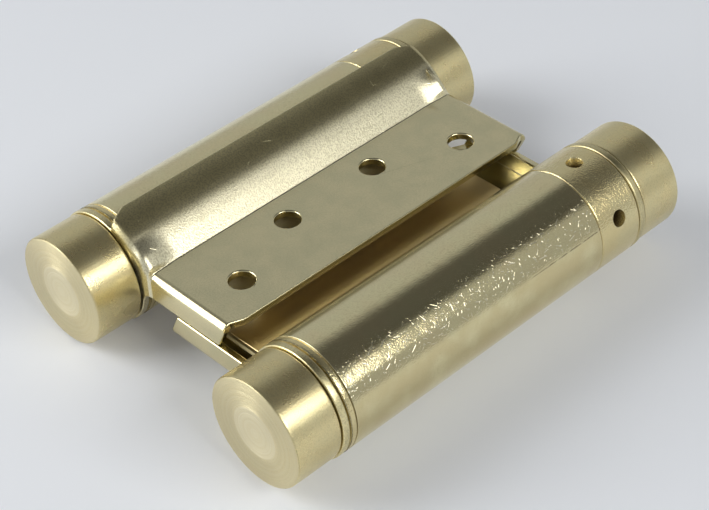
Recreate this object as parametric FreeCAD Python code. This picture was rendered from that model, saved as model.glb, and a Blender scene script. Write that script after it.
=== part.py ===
import FreeCAD, Part
import math
import os
from FreeCAD import Vector

# Double action spring hinge, 75 mm size, lying flat with both leaves shut.
# X runs across the hinge from the left barrel to the right one, Y along the barrels, Z up.
# The origin is the middle of the hinge. Turning the hinge half a turn about Y maps it onto itself,
# so the upper leaf belongs to the left barrel and the lower leaf to the right barrel.

# Driving dimensions of the middle frame: one sheet rolled into two barrels with a doubled web between.
barrel_spacing = 50.7
tube_outer_d = 21.7
tube_wall = 1.0
web_fold_r = 1.5
web_seam_gap = 0.12

# Driving dimensions of a leaf: a drawn sheet with a flat plate, a wrap over the barrel and two ears.
# The wrap is closest to the barrel at its free edge, and flatter than the barrel.
leaf_length = 75.0
leaf_sheet = 1.45
wrap_clearance = 0.35
wrap_r = 16.0
wrap_start_deg = 80.0
wrap_end_deg = 44.0
plate_height = 5.35
plate_reach = 33.65
crease_r = 0.4
bend_inner_r = 0.2
flange_slant = 1.8
leaf_gap = 0.4
ear_fillet_r = 3.0
corner_cut_across = 1.05
corner_cut_along = 2.2
wrap_corner_across = 1.9
wrap_corner_along = 4.0

# Screw holes of a leaf: an outer pair far apart and an inner pair close together, nearer the barrel.
screw_hole_d = 4.8
outer_hole_reach = 25.7
outer_hole_spacing = 54.2
inner_hole_reach = 19.25
inner_hole_spacing = 21.0

# Driving dimensions of the turned pieces of a barrel.
spindle_d = 6.0
spindle_end_chamfer = 0.5
cap_d = 21.1
cap_length = 9.4
cap_rim_chamfer = 0.25
cap_bore_depth = 7.0
plug_flange = 1.45
plug_spigot = 9.0
collar_length = 9.9
collar_hub = 9.0
ring_chamfer = 0.2
tommy_hole_d = 3.1
tommy_hole_depth = 4.6
tommy_hole_count = 5
tommy_hole_start_deg = 94.0

# Driving dimensions of a torsion spring, both ends bent over into axial tangs. It is shut away in
# the barrel, so its wire and its turns have a few flat sides each.
wire_d = 2.5
wire_sides = 8
coil_mean_d = 14.0
coil_pitch = 3.6
coil_sides = 14
tang_bend_r = 2.2
tang_bend_sides = 3
tang_length = 4.0

# Clearances.
running_gap = 0.05
press_gap = 0.02
hub_gap = 0.08
face_gap = 0.2
collar_face_gap = 0.2
cap_face_gap = 0.2
coil_end_gap = 0.4
tang_gap = 0.5
bore_end_gap = 0.5

# How far a cutting shape runs past the sheet.
cut_overrun = 1.0

# Derived sizes.
tube_r = tube_outer_d / 2
tube_inner_r = tube_r - tube_wall
free_edge_r = tube_r + wrap_clearance + leaf_sheet
bend_outer_r = bend_inner_r + leaf_sheet
flange_reach = plate_reach - corner_cut_across
flange_edge_z = leaf_gap / 2
spindle_r = spindle_d / 2
wire_r = wire_d / 2
coil_r = coil_mean_d / 2
axis_x = barrel_spacing / 2

# Places along the barrel, from the near end to the far end.
near_ear_out = -leaf_length / 2
near_ear_in = near_ear_out + leaf_sheet
far_ear_out = leaf_length / 2
far_ear_in = far_ear_out - leaf_sheet
plug_out = near_ear_in + face_gap
tube_near = plug_out + plug_flange
plug_in = tube_near + plug_spigot
collar_out = far_ear_in - face_gap
collar_shoulder = collar_out - collar_length
tube_far = collar_shoulder - collar_face_gap
collar_in = collar_shoulder - collar_hub
near_cap_seat = near_ear_out - cap_face_gap
far_cap_seat = far_ear_out + cap_face_gap
spindle_near = near_cap_seat - cap_bore_depth + bore_end_gap
spindle_far = far_cap_seat + cap_bore_depth - bore_end_gap

# The coil fills the room between the plug and the collar's hub with whole half turns.
coil_start = plug_in + coil_end_gap + wire_r
coil_end = collar_in - coil_end_gap - wire_r
half_turns = round(2 * (coil_end - coil_start) / coil_pitch)
far_side = 1 if half_turns % 2 == 0 else -1
tang_hole_depth = tang_bend_r + tang_length - wire_r - coil_end_gap + bore_end_gap


def polar(radius, degrees, y=0.0):
    """Point at an angle above +X in the cross-section of a barrel centred on the Y axis."""
    turn = math.radians(degrees)
    return Vector(radius * math.cos(turn), y, radius * math.sin(turn))


def line(start, end):
    return Part.LineSegment(start, end).toShape()


def arc(start, middle, end):
    return Part.Arc(start, middle, end).toShape()


def chain(points):
    """Straight edges through the points."""
    return [line(a, b) for a, b in zip(points, points[1:])]


def flat_face(corners):
    return Part.Face(Part.makePolygon(corners + corners[:1]))


def slab(edges, start, end):
    """Solid of a closed outline drawn at y = 0, from one place along Y to another."""
    face = Part.Face(Part.Wire(Part.__sortEdges__(edges)))
    face.translate(Vector(0, start, 0))
    return face.extrude(Vector(0, end - start, 0))


def rod(radius, start, end):
    """Cylinder on the Y axis."""
    return Part.makeCylinder(radius, end - start, Vector(0, start, 0), Vector(0, 1, 0))


def end_edges(solid, places, wanted):
    """Edges that lie in the end planes at the given places and have a wanted middle point."""
    found = []
    for edge in solid.Edges:
        middle = edge.valueAt((edge.FirstParameter + edge.LastParameter) / 2)
        flat = edge.BoundBox.YLength < 1e-6
        on_end = any(abs(middle.y - place) < 1e-6 for place in places)
        if flat and on_end and wanted(middle):
            found.append(edge)
    return found


# Middle frame.
def tube_outline(wall_depth, side):
    """Points where one barrel's round wall passes into its two web folds, at a depth in the sheet."""
    fold_z = tube_wall + web_fold_r
    fold_dx = math.sqrt((tube_r + web_fold_r) ** 2 - fold_z ** 2)
    share = (tube_r - wall_depth) / (tube_r + web_fold_r)
    centre = Vector(side * axis_x, 0, 0)
    fold = Vector(side * (axis_x - fold_dx), 0, fold_z)
    touch = centre + (fold - centre) * share
    outermost = Vector(side * (axis_x + tube_r - wall_depth), 0, 0)
    return fold, touch, outermost


def mirrored(point):
    return Vector(point.x, point.y, -point.z)


def toward(centre, point, radius):
    """Point on a circle round the centre, in the direction of another point."""
    return centre + (point - centre).normalize() * radius


def fold_arc(fold, foot, touch, radius):
    middle = (foot + touch) * 0.5
    return arc(foot, toward(fold, middle, radius), touch)


def middle_frame():
    outer_edges = []
    inner_outlines = []
    feet = []
    for side in (-1, 1):
        fold, touch, outermost = tube_outline(0.0, side)
        foot = Vector(fold.x, 0, tube_wall)
        outer_edges.append(fold_arc(fold, foot, touch, web_fold_r))
        outer_edges.append(arc(touch, outermost, mirrored(touch)))
        outer_edges.append(fold_arc(mirrored(fold), mirrored(foot), mirrored(touch), web_fold_r))
        feet.append(foot)

        inner_r = web_fold_r + tube_wall
        fold, touch, outermost = tube_outline(tube_wall, side)
        seam_half = web_seam_gap / 2
        seam_dx = math.sqrt(inner_r ** 2 - (inner_r - seam_half) ** 2)
        foot = Vector(fold.x + side * seam_dx, 0, seam_half)
        inner_edges = [
            line(mirrored(foot), foot),
            fold_arc(fold, foot, touch, inner_r),
            arc(touch, outermost, mirrored(touch)),
            fold_arc(mirrored(fold), mirrored(foot), mirrored(touch), inner_r),
        ]
        inner_outlines.append(inner_edges)
    outer_edges.append(line(feet[0], feet[1]))
    outer_edges.append(line(mirrored(feet[0]), mirrored(feet[1])))
    frame = slab(outer_edges, tube_near, tube_far)
    for inner_edges in inner_outlines:
        frame = frame.cut(slab(inner_edges, tube_near, tube_far))
    return frame


# Leaf, drawn round a barrel centred on the Y axis, with its plate towards +X.
def leaf_surface(depth, start_deg, reach):
    """Edges of the sheet's section at a depth below its outer face, and the section's two ends."""
    centre = polar(free_edge_r - wrap_r, wrap_start_deg)
    radius = wrap_r - depth
    height = plate_height - depth
    first = centre + polar(radius, start_deg)
    middle = centre + polar(radius, (start_deg + wrap_end_deg) / 2)
    tangent = centre + polar(radius, wrap_end_deg)
    slope = math.radians(90 - wrap_end_deg)
    down = Vector(math.cos(slope), 0, -math.sin(slope))
    corner = tangent + down * ((tangent.z - height) / math.sin(slope))
    crease = crease_r + depth
    setback = crease * math.tan(slope / 2)
    crease_start = corner - down * setback
    crease_end = corner + Vector(setback, 0, 0)
    crease_centre = crease_end + Vector(0, 0, crease)
    last = Vector(reach, 0, height)
    edges = [
        arc(first, middle, tangent),
        line(tangent, crease_start),
        arc(crease_start, toward(crease_centre, corner, crease), crease_end),
        line(crease_end, last),
    ]
    return edges, first, last


def leaf_block(depth, start_deg, reach, floor_z, y_half, end_fillet):
    """Solid under one face of the sheet, with rounded end folds."""
    edges, first, last = leaf_surface(depth, start_deg, reach)
    heel = Vector(0, 0, floor_z)
    closing = chain([last, Vector(reach, 0, floor_z), heel, first])
    block = slab(edges + closing, -y_half, y_half)
    section = Part.Wire(edges)

    def on_surface(point):
        flat_point = Vector(point.x, 0, point.z)
        return section.distToShape(Part.Vertex(flat_point))[0] < 1e-6

    return block.makeFillet(end_fillet, end_edges(block, (-y_half, y_half), on_surface))


def wrap_corner_cutter(end):
    """Slanted cut at one end of the wrap's free edge."""
    outward = polar(1.0, wrap_start_deg)
    across = polar(1.0, wrap_start_deg - 90)
    along = Vector(0, end, 0)
    rise = wrap_corner_along / wrap_corner_across
    floor_r = tube_r - cut_overrun
    low = outward * floor_r + along * (leaf_length / 2 - wrap_corner_along)
    inner_corner = low - (across + along * rise) * cut_overrun
    outer_corner = low + (across + along * rise) * (wrap_corner_across + cut_overrun)
    back_corner = inner_corner + along * rise * (wrap_corner_across + 2 * cut_overrun)
    face = flat_face([inner_corner, outer_corner, back_corner])
    return face.extrude(outward * (free_edge_r + cut_overrun - floor_r))


def plate_corner_cutter(end):
    """Cut at one end of the plate's free edge: the fold stops short and the corner is clipped."""
    y_fold = leaf_length / 2 - bend_outer_r
    y_clip = y_fold - corner_cut_along
    x_past = plate_reach + cut_overrun
    plan = [
        (flange_reach, leaf_length / 2 + cut_overrun),
        (flange_reach, y_fold),
        (plate_reach, y_clip),
        (x_past, y_clip),
        (x_past, leaf_length / 2 + cut_overrun),
    ]
    face = flat_face([Vector(x, end * y, 0) for x, y in plan])
    return face.extrude(Vector(0, 0, plate_height + cut_overrun))


def flange_end_cutter():
    """Slanted free ends of both end flanges, below the plate."""
    top = plate_height - leaf_sheet - bend_inner_r
    far = plate_reach + leaf_sheet
    outline = [
        Vector(flange_reach, 0, top),
        Vector(flange_reach - flange_slant, 0, 0),
        Vector(far, 0, 0),
        Vector(far, 0, top),
    ]
    return slab(chain(outline + outline[:1]), near_ear_out, far_ear_out)


def ear(start, end):
    """Round ear of the barrel's size, with a fillet under the arm that carries it."""
    disc = rod(tube_r, start, end)
    centre_z = flange_edge_z - ear_fillet_r
    centre = Vector(math.sqrt((tube_r + ear_fillet_r) ** 2 - centre_z ** 2), 0, centre_z)
    on_arm = Vector(centre.x, 0, flange_edge_z)
    on_disc = centre * (tube_r / (tube_r + ear_fillet_r))
    middle = toward(centre, (on_arm + on_disc) * 0.5, ear_fillet_r)
    heel = Vector(0, 0, flange_edge_z)
    web = slab([arc(on_arm, middle, on_disc)] + chain([on_disc, heel, on_arm]), start, end)
    return disc.fuse(web)


def leaf():
    inside_lead_deg = 15.0
    outside = leaf_block(0.0, wrap_start_deg, plate_reach, flange_edge_z, leaf_length / 2, bend_outer_r)
    inside = leaf_block(
        leaf_sheet,
        wrap_start_deg + inside_lead_deg,
        plate_reach + cut_overrun,
        flange_edge_z - cut_overrun,
        leaf_length / 2 - leaf_sheet,
        bend_inner_r,
    )
    sheet = outside.cut(inside)
    for end in (-1, 1):
        sheet = sheet.cut(wrap_corner_cutter(end))
        sheet = sheet.cut(plate_corner_cutter(end))
    sheet = sheet.cut(flange_end_cutter())
    sheet = sheet.fuse([ear(near_ear_out, near_ear_in), ear(far_ear_in, far_ear_out)])
    sheet = sheet.cut(rod(spindle_r + press_gap, near_ear_out, far_ear_out))
    hole_rows = ((outer_hole_reach, outer_hole_spacing), (inner_hole_reach, inner_hole_spacing))
    for reach, spacing in hole_rows:
        for end in (-1, 1):
            foot = Vector(reach, end * spacing / 2, 0)
            sheet = sheet.cut(Part.makeCylinder(screw_hole_d / 2, plate_height + leaf_sheet, foot))
    return sheet.removeSplitter()


# Turned pieces, on the Y axis.
def turned(profile):
    """Solid of revolution from (radius, place along Y) points."""
    face = flat_face([Vector(radius, y, 0) for radius, y in profile])
    return face.revolve(Vector(0, 0, 0), Vector(0, 1, 0), 360)


def spindle():
    small = spindle_r - spindle_end_chamfer
    return turned([
        (0, spindle_near),
        (small, spindle_near),
        (spindle_r, spindle_near + spindle_end_chamfer),
        (spindle_r, spindle_far - spindle_end_chamfer),
        (small, spindle_far),
        (0, spindle_far),
    ])


def cap(seat, outward):
    """Turned end cap with a blind bore that is pressed over the spindle."""
    face = seat + outward * cap_length
    bore_end = seat + outward * cap_bore_depth
    bore_r = spindle_r + press_gap
    cap_r = cap_d / 2
    return turned([
        (0, face),
        (cap_r - cap_rim_chamfer, face),
        (cap_r, face - outward * cap_rim_chamfer),
        (cap_r, seat + outward * ring_chamfer),
        (cap_r - ring_chamfer, seat),
        (bore_r, seat),
        (bore_r, bore_end),
        (0, bore_end),
    ])


def tang_hole(mouth, inward, side):
    """Blind hole along Y for a spring tang; side is the side of the axis on which the coil ends."""
    start = Vector(side * coil_r, mouth, inward * side * tang_bend_r)
    return Part.makeCylinder(wire_r + tang_gap, tang_hole_depth, start, Vector(0, inward, 0))


def end_plug():
    """Turned plug in the barrel's near end: a rim the size of the barrel and a spigot inside it."""
    bore_r = spindle_r + running_gap
    spigot_r = tube_inner_r - press_gap
    body = turned([
        (bore_r, plug_out),
        (tube_r - ring_chamfer, plug_out),
        (tube_r, plug_out + ring_chamfer),
        (tube_r, tube_near - ring_chamfer),
        (tube_r - ring_chamfer, tube_near),
        (spigot_r, tube_near),
        (spigot_r, plug_in),
        (bore_r, plug_in),
    ])
    return body.cut(tang_hole(plug_in, -1, 1))


def tension_collar():
    """Turned collar at the far end: its hub turns in the barrel and its rim is drilled for a bar."""
    bore_r = spindle_r + running_gap
    hub_r = tube_inner_r - hub_gap
    body = turned([
        (bore_r, collar_in),
        (hub_r, collar_in),
        (hub_r, collar_shoulder),
        (tube_r - ring_chamfer, collar_shoulder),
        (tube_r, collar_shoulder + ring_chamfer),
        (tube_r, collar_out - ring_chamfer),
        (tube_r - ring_chamfer, collar_out),
        (bore_r, collar_out),
    ])
    body = body.cut(tang_hole(collar_in, 1, far_side))
    middle = (collar_shoulder + collar_out) / 2
    for number in range(tommy_hole_count):
        turn_deg = tommy_hole_start_deg + 180 - 360.0 * number / tommy_hole_count
        bottom = polar(tube_r - tommy_hole_depth, turn_deg, middle)
        drill = Part.makeCylinder(tommy_hole_d / 2, 2 * tommy_hole_depth, bottom, polar(1.0, turn_deg))
        body = body.cut(drill)
    return body


# Torsion spring.
def bend_points(y, inward, side):
    """Points from one end of the coil round a quarter bend to the tip of its tang."""
    centre = Vector(side * coil_r, y + inward * tang_bend_r, 0)
    points = []
    for step in range(1, tang_bend_sides + 1):
        turn = math.pi / 2 * step / tang_bend_sides
        back = Vector(0, -inward * math.cos(turn), inward * side * math.sin(turn))
        points.append(centre + back * tang_bend_r)
    tip = points[-1] + Vector(0, inward * tang_length, 0)
    return points + [tip]


def coil_points():
    count = round(half_turns * coil_sides / 2)
    points = []
    for step in range(count + 1):
        y = coil_start + (coil_end - coil_start) * step / count
        points.append(polar(coil_r, 180.0 * half_turns * step / count, y))
    return points


def wire_rings(path):
    """Corners of the wire at each point of its path, mitred where the path turns."""
    headings = [(b - a).normalize() for a, b in zip(path, path[1:])]
    across = Vector(1, 0, 0)
    upward = headings[0].cross(across)
    ring = []
    for number in range(wire_sides):
        turn = 2 * math.pi * (number + 0.5) / wire_sides
        ring.append(path[0] + (across * math.cos(turn) + upward * math.sin(turn)) * wire_r)
    rings = [ring]
    for point, heading, following in zip(path[1:], headings, headings[1:] + headings[-1:]):
        mitre = heading + following
        scale = 1 / heading.dot(mitre)
        ring = [corner + heading * ((point - corner).dot(mitre) * scale) for corner in ring]
        rings.append(ring)
    return rings


def torsion_spring():
    near_end = bend_points(coil_start, -1, 1)
    far_end = bend_points(coil_end, 1, far_side)
    rings = wire_rings(near_end[::-1] + coil_points() + far_end)
    faces = [flat_face(rings[0][::-1]), flat_face(rings[-1])]
    for ring, following in zip(rings, rings[1:]):
        for number in range(wire_sides):
            beside = (number + 1) % wire_sides
            faces.append(flat_face([ring[number], ring[beside], following[beside], following[number]]))
    shell = Part.Shell(faces)
    shell.sewShape()
    return Part.Solid(shell)


# The hinge is put together: each barrel's pieces are moved to its axis, and the right barrel's
# are those of the left one turned half a turn about Y.
def on_left(shape):
    placed = shape.copy()
    placed.translate(Vector(-axis_x, 0, 0))
    return placed


def on_right(shape):
    placed = on_left(shape)
    placed.rotate(Vector(0, 0, 0), Vector(0, 1, 0), 180)
    return placed


one_leaf = leaf()
nodes = {
    "middle_frame": middle_frame(),
    "upper_leaf": on_left(one_leaf),
    "lower_leaf": on_right(one_leaf),
}
barrel_pieces = {
    "spindle": spindle(),
    "near_cap": cap(near_cap_seat, -1),
    "far_cap": cap(far_cap_seat, 1),
    "end_plug": end_plug(),
    "tension_collar": tension_collar(),
    "torsion_spring": torsion_spring(),
}
for name, piece in barrel_pieces.items():
    nodes["left_" + name] = on_left(piece)
    nodes["right_" + name] = on_right(piece)

os.makedirs("parts", exist_ok=True)
for name, shape in nodes.items():
    shape.exportStep("parts/" + name + ".step")
    print(name, shape.isValid(), len(shape.Solids), round(shape.Volume, 1))
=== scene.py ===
import math

import bpy
from mathutils import Matrix, Vector


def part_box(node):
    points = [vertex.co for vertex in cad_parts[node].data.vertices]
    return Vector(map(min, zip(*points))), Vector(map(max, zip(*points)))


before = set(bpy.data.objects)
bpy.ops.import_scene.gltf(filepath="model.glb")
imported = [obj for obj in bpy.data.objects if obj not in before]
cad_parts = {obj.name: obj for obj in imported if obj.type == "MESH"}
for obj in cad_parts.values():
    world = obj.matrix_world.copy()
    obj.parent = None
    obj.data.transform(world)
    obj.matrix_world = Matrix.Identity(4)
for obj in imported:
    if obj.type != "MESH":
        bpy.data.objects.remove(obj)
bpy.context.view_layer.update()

# Middle frame: two barrels and the web between them, rolled from one strip of sheet steel and
# brass plated. Handling has left short nicks on the barrels, and the strip's end shows as a fine
# seam. The nicks are painted pale as glints, the band where they lie is painted darker as shade,
# and the outer side of each barrel is painted darker and browner in patches as shade. The web is
# dull, most of all where the leaves shut it in, and tinted brown as painted shade, less so there.
BRASS = (0.81, 0.705, 0.42, 1.0)
BRASS_GREENER = (0.81, 0.735, 0.44, 1.0)
BRASS_SPECK_AND_SHADE = (0.5, 0.43, 0.24, 1.0)
BRASS_OUTER_SHADE = (0.55, 0.45, 0.22, 1.0)
NICK_PAINTED_GLINT = (0.93, 0.9, 0.78, 1.0)
SEAM_DARK = (0.25, 0.2, 0.11, 1.0)
WEB_SHADE_BROWN = (0.66, 0.46, 0.2, 1.0)
barrel_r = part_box("middle_frame")[1].z
barrel_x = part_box("middle_frame")[1].x - barrel_r


class Wire:
    """One socket of a finish. A sum on wires adds its Math or Vector Math nodes."""

    def __init__(self, tree, socket=None):
        self.tree = tree
        self.socket = socket

    def node(self, kind, settings=None, inputs=None, output=0):
        """Any other node: first its settings, then the values or links of its sockets."""
        made = self.tree.nodes.new(kind)
        for name, value in (settings or {}).items():
            setattr(made, name, value)
        for key, value in (inputs or {}).items():
            target = made.inputs[key]
            if isinstance(value, Wire):
                self.tree.links.new(value.socket, target)
            elif target.type == "VECTOR" and isinstance(value, (int, float)):
                target.default_value = (value, value, value)
            else:
                target.default_value = value
        return Wire(self.tree, made.outputs[output] if made.outputs else None)

    def out(self, name):
        """Another output of this wire's node."""
        return Wire(self.tree, self.socket.node.outputs[name])

    def maths(self, operation, *values):
        wires = [value for value in values if isinstance(value, Wire)]
        vector = any(wire.socket.type in ("VECTOR", "RGBA") for wire in wires)
        kind = "ShaderNodeVectorMath" if vector else "ShaderNodeMath"
        return self.node(kind, {"operation": operation}, dict(enumerate(values)))

    def __add__(self, other):
        return self.maths("ADD", self, other)

    def __sub__(self, other):
        return self.maths("SUBTRACT", self, other)

    def __rsub__(self, other):
        return self.maths("SUBTRACT", other, self)

    def __mul__(self, other):
        return self.maths("MULTIPLY", self, other)

    def __lt__(self, other):
        return self.maths("LESS_THAN", self, other)

    def __abs__(self):
        return self.maths("ABSOLUTE", self)

    __radd__ = __add__
    __rmul__ = __mul__

    def step(self, low, high):
        """Rises smoothly from 0 at low to 1 at high."""
        settings = {"interpolation_type": "SMOOTHSTEP"}
        return self.node("ShaderNodeMapRange", settings, {0: self, 1: low, 2: high, 3: 0.0, 4: 1.0})

    def tint(self, low_colour, high_colour):
        """Colour that goes from one to another as this value rises from 0 to 1."""
        settings = {"data_type": "RGBA"}
        return self.node("ShaderNodeMix", settings, {0: self, 6: low_colour, 7: high_colour}, 2)


def new_finish(name):
    material = bpy.data.materials.new(name)
    material.use_nodes = True
    material.node_tree.nodes.clear()
    return material, Wire(material.node_tree)


def grain(where, size, detail=1.0):
    """Random grain of a size in metres, between 0 and 1."""
    return where.node("ShaderNodeTexNoise", None, {"Vector": where, "Scale": 1 / size, "Detail": detail})


def nicks(flat, spacing, length, width, share):
    """Short random nicks on a flattened surface, each turned its own way; 1 at the bottom of a nick."""
    scatter = {"voronoi_dimensions": "2D", "feature": "F1"}
    cell = flat.node("ShaderNodeTexVoronoi", scatter, {"Vector": flat, "Scale": 1 / spacing}, "Position")
    chance = cell.node("ShaderNodeSeparateColor", None, {0: cell.out("Color")})
    away = cell.node("ShaderNodeSeparateXYZ", None, {0: flat - cell})
    turn = chance * math.tau
    cosine = turn.maths("COSINE", turn)
    sine = turn.maths("SINE", turn)
    along = away * cosine + away.out("Y") * sine
    across = away.out("Y") * cosine - away * sine
    half = chance.out("Green") * (length / 2)
    groove = 1 - abs(across).step(0.0, width / 2)
    return groove * (abs(along) < half) * (chance.out("Blue") < share)


def plated(material, wire, colour, metal, roughness, height):
    """Plating of a colour and a roughness over a surface whose height is in metres."""
    normal = wire.node("ShaderNodeBump", None, {"Strength": 1.0, "Distance": 1.0, "Height": height})
    sockets = {"Base Color": colour, "Metallic": metal, "Roughness": roughness, "Normal": normal}
    surface = wire.node("ShaderNodeBsdfPrincipled", None, sockets)
    wire.node("ShaderNodeOutputMaterial", None, {"Surface": surface})
    return material


def rolled_sheet():
    seam_angle = math.radians(23.8)
    seam_width = 0.0002
    seam_depth = 0.00003
    nick_depth = 0.000014
    grain_height = 0.000018
    ripple_height = 0.00003
    web_reach = 0.0128
    fine_size = 0.00025
    ripple_size = 0.003
    cloud_size = 0.006
    gap_size = 0.0008
    material, wire = new_finish("rolled_sheet")
    where = wire.node("ShaderNodeTexCoord", None, None, "Object")
    place = where.node("ShaderNodeSeparateXYZ", None, {0: where})
    side = place.maths("SIGN", place)
    out_x = side * place - barrel_x
    out_z = side * place.out("Z")
    around = out_z.maths("ARCTAN2", out_z, out_x)
    flat = where.node("ShaderNodeCombineXYZ", None, {0: around * barrel_r, 1: place.out("Y"), 2: 0.0})
    fine = grain(where, fine_size)
    ripple = grain(where, ripple_size)
    nick_band_and_shade = around.step(0.3, 0.6) * (1 - around.step(0.9, 1.2))
    long_nicks = nicks(flat, 0.0015, 0.0019, 0.00016, 0.36)
    short_nicks = nicks(flat, 0.0005, 0.0006, 0.00014, 0.34)
    marks = (long_nicks + short_nicks) * nick_band_and_shade
    seam_off = abs(around - seam_angle) * barrel_r
    seam_fade = place.out("Y").step(0.006, 0.013)
    broken = grain(where, gap_size).step(0.35, 0.6)
    seam = (1 - seam_off.step(0.0, seam_width)) * seam_fade * broken
    height = fine * grain_height + ripple * ripple_height - marks * nick_depth - seam * seam_depth
    cloud = grain(where, cloud_size, 3.0)
    colour = cloud.step(0.35, 0.7).tint(BRASS_GREENER, BRASS)
    colour = (fine.step(0.45, 0.75) * 0.3).tint(colour, BRASS_SPECK_AND_SHADE)
    # Painted shade: the outer side of each barrel is painted darker and browner, in patches.
    outer_side_shade = around.step(-0.6, -0.3) * (1 - around.step(0.3, 0.62)) * cloud.step(0.2, 0.6)
    colour = (outer_side_shade * 0.5).tint(colour, BRASS_OUTER_SHADE)
    colour = (seam * 0.85).tint(colour, SEAM_DARK)
    # Painted shade: the band where the nicks lie is painted darker, to dim the highlight there.
    colour = (nick_band_and_shade * 0.35).tint(colour, BRASS_SPECK_AND_SHADE)
    # Painted glint: the nicks are painted pale.
    colour = (marks * 0.6).tint(colour, NICK_PAINTED_GLINT)
    dull = 1 - abs(place).step(web_reach, web_reach + 0.0006)
    toward_gap = place * place.maths("SIGN", place.out("Z"))
    shut_in = dull * (1 - toward_gap.step(0.002, 0.006))
    # Painted shade: the web is tinted brown, less so under the leaves.
    colour = (dull * 0.6 - shut_in * 0.45).tint(colour, WEB_SHADE_BROWN)
    far_end = place.out("Y").step(0.01, 0.032)
    film = shut_in * 0.92 + (dull - shut_in) * far_end * 0.4
    roughness = 0.17 + cloud * 0.05 + dull * 0.14 - nick_band_and_shade * 0.06
    return plated(material, wire, colour, 0.95 - film, roughness, height)


def soft_edges(node, width):
    """Breaks a piece's sharp edges by a small rounding and gives it an even shading."""
    weld = node.modifiers.new("weld", "WELD")
    weld.merge_threshold = 0.000001
    flats = node.modifiers.new("flats", "DECIMATE")
    flats.decimate_type = "DISSOLVE"
    flats.angle_limit = math.radians(0.5)
    bevel = node.modifiers.new("broken_edges", "BEVEL")
    bevel.width = width
    bevel.segments = 3
    bevel.limit_method = "ANGLE"
    bevel.angle_limit = math.radians(35)
    bevel.use_clamp_overlap = False
    shading = node.modifiers.new("even_shading", "WEIGHTED_NORMAL")
    shading.mode = "FACE_AREA_WITH_ANGLE"
    shading.weight = 80


def dress(name, finish, edge_width):
    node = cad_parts[name]
    node.data.materials.clear()
    node.data.materials.append(finish)
    for face in node.data.polygons:
        face.use_smooth = True
    soft_edges(node, edge_width)


dress("middle_frame", rolled_sheet(), 0.00016)

# End plugs and tension collars: turned from steel bar and brass plated. A plug is pressed into the
# near end of each barrel, and a collar turns in its far end. Their rims show between barrel and leaf.
LEFT_RIGHT = ("left", "right")
TURNED_BRASS = (0.76, 0.665, 0.37, 1.0)
TURNED_WARMER = (0.77, 0.645, 0.335, 1.0)
FACE_BRASS_PAINTED_LIGHT = (0.84, 0.755, 0.515, 1.0)


def turned_bar(name, ring_height, grain_height, roughness_low):
    groove_height = 0.000003
    facing_height = 0.00006
    face_y = 0.0470
    centre_r = 0.0048
    face_slope = 0.24
    hole_floor = barrel_r - 0.0024
    groove_scale = 11000.0
    ring_scale = 1700.0
    sweep_scale = 2000.0
    recess_shade = (0.16, 0.12, 0.06, 1.0)
    material, wire = new_finish(name)
    where = wire.node("ShaderNodeTexCoord", None, None, "Object")
    place = where.node("ShaderNodeSeparateXYZ", None, {0: where})
    out_x = abs(place) - barrel_x
    reach = out_x.maths("SQRT", out_x * out_x + place.out("Z") * place.out("Z"))
    travel = place.out("Y") + reach
    lathe = {"noise_dimensions": "1D"}
    grooves = wire.node("ShaderNodeTexNoise", lathe, {"W": travel, "Scale": groove_scale, "Detail": 1.0})
    rings = wire.node("ShaderNodeTexNoise", lathe, {"W": travel, "Scale": ring_scale, "Detail": 2.0})
    fine = grain(where, 0.00025)
    faced = abs(place.out("Y")).step(face_y, face_y + 0.00008)
    crown = reach.maths("MAXIMUM", reach - centre_r, 0.0) * face_slope
    facing = grooves * faced * reach.step(0.0, 0.004) * facing_height
    height = grooves * groove_height + facing + rings * ring_height + fine * grain_height - crown
    cloud = grain(where, 0.005, 3.0)
    colour = cloud.step(0.3, 0.7).tint(TURNED_WARMER, TURNED_BRASS)
    colour = (fine.step(0.4, 0.75) * 0.35).tint(colour, BRASS_SPECK_AND_SHADE)
    sweep = wire.node("ShaderNodeTexNoise", lathe, {"W": reach, "Scale": sweep_scale, "Detail": 2.0})
    off_centre = reach.step(centre_r, centre_r + 0.0004)
    # Painted light: the end faces get a paler copy of the brass, ringed in tone by the turning, and are
    # painted darker as shade off their flat middle.
    face_tone_and_light = faced * (sweep.step(0.3, 0.7) * 0.35 + 0.65 - off_centre * 0.3)
    colour = face_tone_and_light.tint(colour, FACE_BRASS_PAINTED_LIGHT)
    # Painted shade: the outer ring of each end face is painted darker still.
    outer_ring = faced * reach.step(centre_r - 0.0003, centre_r + 0.0012)
    colour = (outer_ring * 0.32).tint(colour, BRASS_SPECK_AND_SHADE)
    # Painted shade: surfaces more than 2.4 mm under the outer skin, such as the walls inside the holes, are
    # painted near black, end faces apart.
    deep = (1 - reach.step(hole_floor, barrel_r - 0.0004)) * (1 - faced)
    colour = (deep * 0.9).tint(colour, recess_shade)
    roughness = roughness_low + cloud * 0.08 + faced * 0.1
    return plated(material, wire, colour, 0.88, roughness, height)


ring_finish = turned_bar("turned_ring", 0.000003, 0.000055, 0.18)
for side in LEFT_RIGHT:
    dress(side + "_end_plug", ring_finish, 0.0003)
    dress(side + "_tension_collar", ring_finish, 0.0001)

# Torsion springs and spindles: drawn steel wire and ground steel rod, left bare. They are shut away
# in the barrels, and only a glint of them could ever be seen through a gap.
STEEL = (0.52, 0.52, 0.51, 1.0)
STEEL_STREAK = (0.42, 0.41, 0.39, 1.0)


def drawn_steel():
    material, wire = new_finish("drawn_steel")
    where = wire.node("ShaderNodeTexCoord", None, None, "Object")
    streaks = grain(where * (1.0, 0.1, 1.0), 0.0004)
    colour = streaks.tint(STEEL, STEEL_STREAK)
    return plated(material, wire, colour, 1.0, 0.3 + streaks * 0.15, streaks * 0.000004)


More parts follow.
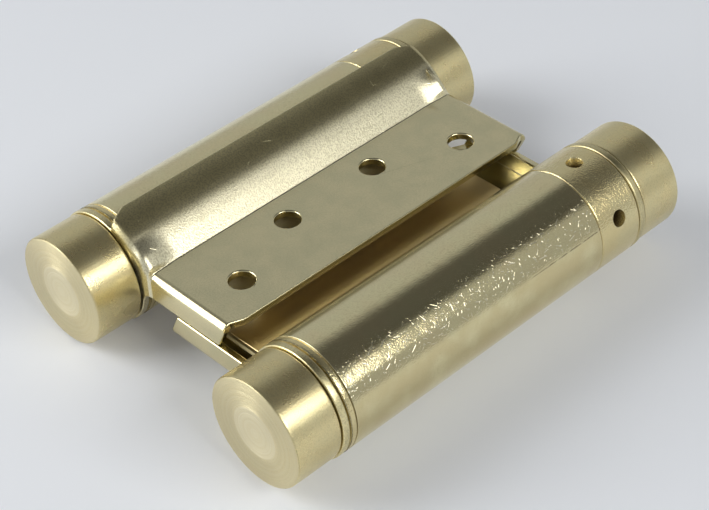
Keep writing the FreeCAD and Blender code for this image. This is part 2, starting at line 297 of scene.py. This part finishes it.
steel_finish = drawn_steel()
for side in LEFT_RIGHT:
    dress(side + "_torsion_spring", steel_finish, 0.00002)
    dress(side + "_spindle", steel_finish, 0.00005)

# Leaves: sheet steel drawn over the barrel, folded down at both ends, pierced for the screws and
# brass plated. The drawing has roughened the wrap, and left a soft hollow at each end of the ramp.
# The ramp is painted paler as a highlight and the far end darker as shade; the flat plate is smooth.
CREASE_REACH = 0.0133
SHEET_BRASS = (0.79, 0.705, 0.435, 1.0)
SHEET_SMUDGE = (0.72, 0.66, 0.41, 1.0)
DRAWN_BRASS = (0.85, 0.75, 0.42, 1.0)
RAMP_HIGHLIGHT_BRASS = (0.96, 0.895, 0.64, 1.0)


def drawn_sheet(name, axis_x, toward):
    """Finish of a leaf whose plate lies on one side of its barrel's axis."""
    plate_grain = 0.000004
    drawn_grain = 0.00002
    hollow_height = 0.0008
    ramp_drop = 0.00014
    material, wire = new_finish(name)
    where = wire.node("ShaderNodeTexCoord", None, None, "Object")
    place = where.node("ShaderNodeSeparateXYZ", None, {0: where})
    reach = (place - axis_x) * toward
    drawn = 1 - reach.step(CREASE_REACH - 0.0004, CREASE_REACH + 0.0006)
    fine = grain(where, 0.00028)
    flat = where.node("ShaderNodeCombineXYZ", None, {0: reach, 1: place.out("Y"), 2: 0.0})
    marks = nicks(flat, 0.0026, 0.0014, 0.0002, 0.3)
    on_ramp = reach.step(0.0085, 0.0115) * (1 - reach.step(0.0125, 0.0137))
    lift = abs(place.out("Y")).step(0.0305, 0.0375) * on_ramp
    bend = lift * hollow_height - reach.step(0.0078, 0.0105) * ramp_drop
    relief = plate_grain + drawn * drawn_grain
    height = fine * relief - marks * relief + bend
    cloud = grain(where, 0.005, 4.0)
    # Painted shade: the wrap and ramp are painted darker towards the far end.
    far_shade = place.out("Y").step(-0.01, 0.04) * 0.4
    far_shaded = far_shade.tint(DRAWN_BRASS, BRASS_SPECK_AND_SHADE)
    # Painted highlight: from mid-wrap onto the ramp the leaf is painted paler, where the highlight falls.
    drawn_light_and_shade = reach.step(0.0066, 0.0098).tint(far_shaded, RAMP_HIGHLIGHT_BRASS)
    smooth = cloud.step(0.3, 0.7).tint(SHEET_BRASS, SHEET_SMUDGE)
    colour = drawn.tint(smooth, drawn_light_and_shade)
    colour = (fine.step(0.42, 0.62) * (0.2 + drawn * 0.32)).tint(colour, BRASS_SPECK_AND_SHADE)
    roughness = 0.17 + drawn * 0.11 + cloud * 0.08
    return plated(material, wire, colour, 1.0, roughness, height)


dress("upper_leaf", drawn_sheet("upper_sheet", -barrel_x, 1.0), 0.0003)
dress("lower_leaf", drawn_sheet("lower_sheet", barrel_x, -1.0), 0.0003)

# End caps: turned from steel bar, faced off on the lathe and brass plated, then pressed over the
# ends of the spindles. The facing cuts leave fine rings and a slight crown around a flat middle.
cap_finish = turned_bar("turned_cap", 0.000006, 0.000028, 0.24)
for side in LEFT_RIGHT:
    for end in ("near", "far"):
        dress(side + "_" + end + "_cap", cap_finish, 0.0002)

# Floor: a sheet of pale paper. The hinge lies on its lower wrap and its left barrel, so the paper
# is a little out of square with the plates.
PAPER = (0.79, 0.81, 0.84, 1.0)
NO_GLOW = (0.0, 0.0, 0.0, 1.0)
PAPER_GLOW = (0.045, 0.045, 0.052, 1.0)
wrap_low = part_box("lower_leaf")[0].z
rest_x = barrel_x - 0.0022
span = math.hypot(rest_x + barrel_x, wrap_low)
floor_tilt = math.asin(-wrap_low / span) - math.asin(barrel_r / span)
floor_half = 3.0
floor_mesh = bpy.data.meshes.new("floor")
corners = [(-floor_half, -floor_half, 0), (floor_half, -floor_half, 0)]
corners += [(floor_half, floor_half, 0), (-floor_half, floor_half, 0)]
floor_mesh.from_pydata(corners, [], [(0, 1, 2, 3)])
floor = bpy.data.objects.new("floor", floor_mesh)
bpy.context.scene.collection.objects.link(floor)
floor.matrix_world = Matrix.Translation((rest_x, 0, wrap_low)) @ Matrix.Rotation(floor_tilt, 4, "Y")
floor_material, wire = new_finish("paper")
path = wire.node("ShaderNodeLightPath", None, None, "Is Camera Ray")
shown = path.maths("MAXIMUM", path, path.out("Is Glossy Ray"))
shown = shown.maths("MAXIMUM", shown, path.out("Is Transmission Ray"))
paper = wire.node("ShaderNodeBsdfPrincipled", None, {
    "Base Color": PAPER,
    "Roughness": 0.8,
    "Specular IOR Level": 0.2,
    "Emission Color": shown.tint(NO_GLOW, PAPER_GLOW),
    "Emission Strength": 1.0,
})
wire.node("ShaderNodeOutputMaterial", None, {"Surface": paper})
floor_mesh.materials.append(floor_material)

# Light: pale walls under a dark ceiling, a soft box to the right of the hinge and one to the left
# of the camera.
DARK_CORNER = (0.11, 0.56, 0.82)
PALE_WALL = (0.44, 0.455, 0.465, 1.0)
DARK_CEILING = (0.052, 0.052, 0.049, 1.0)
BACKDROP = (0.68, 0.70, 0.73, 1.0)
world = bpy.data.worlds.new("studio")
bpy.context.scene.world = world
world.use_nodes = True
world.node_tree.nodes.clear()
wire = Wire(world.node_tree)
heading = wire.node("ShaderNodeTexCoord", None, None, "Generated")
rise = heading.node("ShaderNodeSeparateXYZ", None, {0: heading}, "Z")
beyond = heading.node("ShaderNodeVectorMath", {"operation": "DOT_PRODUCT"}, {0: heading, 1: DARK_CORNER}, 1)
dark = rise.maths("MAXIMUM", rise.step(0.72, 0.84), beyond.step(0.87, 0.95))
walls = dark.tint(PALE_WALL, DARK_CEILING)
backdrop = wire.node("ShaderNodeBackground", None, {"Color": BACKDROP})
room = wire.node("ShaderNodeBackground", None, {"Color": walls})
seen = wire.node("ShaderNodeLightPath", None, None, "Is Camera Ray")
sky = wire.node("ShaderNodeMixShader", None, {0: seen, 1: room, 2: backdrop})
wire.node("ShaderNodeOutputWorld", None, {"Surface": sky})


def soft_box(name, direction, distance, width, height, level, turn):
    """Area lamp that faces the hinge, with its brightness given as the level of its face."""
    lamp = bpy.data.lights.new(name, "AREA")
    lamp.shape = "RECTANGLE"
    lamp.size = width
    lamp.size_y = height
    lamp.energy = level * math.pi * width * height
    box = bpy.data.objects.new(name, lamp)
    bpy.context.scene.collection.objects.link(box)
    toward_hinge = -Vector(direction).normalized()
    box.location = -toward_hinge * distance
    facing = toward_hinge.to_track_quat("-Z", "Y").to_matrix().to_4x4()
    box.rotation_euler = (facing @ Matrix.Rotation(turn, 4, "Z")).to_euler()
    box.visible_camera = False
    return box


soft_box("right_box", (0.808, 0.096, 0.572), 0.8, 0.53, 0.28, 5.9, 0.0)
soft_box("left_box", (-0.62, -0.66, 0.46), 0.9, 0.56, 0.8, 4.8, 0.0)

# Camera: stands where the photographer stood, with a long lens, level but for a slight roll.
CAMERA_PLACE = (0.206607, -0.187686, 0.226238)
camera_data = bpy.data.cameras.new("camera")
camera_data.lens = 101.376
camera_data.sensor_width = 36.0
camera = bpy.data.objects.new("camera", camera_data)
bpy.context.scene.collection.objects.link(camera)
azimuth = math.radians(47.823)
elevation = math.radians(39.735)
roll = math.radians(-2.959)
turned = Matrix.Rotation(azimuth, 4, "Z") @ Matrix.Rotation(math.pi / 2 - elevation, 4, "X")
camera.matrix_world = Matrix.Translation(CAMERA_PLACE) @ turned @ Matrix.Rotation(roll, 4, "Z")
bpy.context.scene.camera = camera
bpy.context.scene.view_settings.view_transform = "Standard"
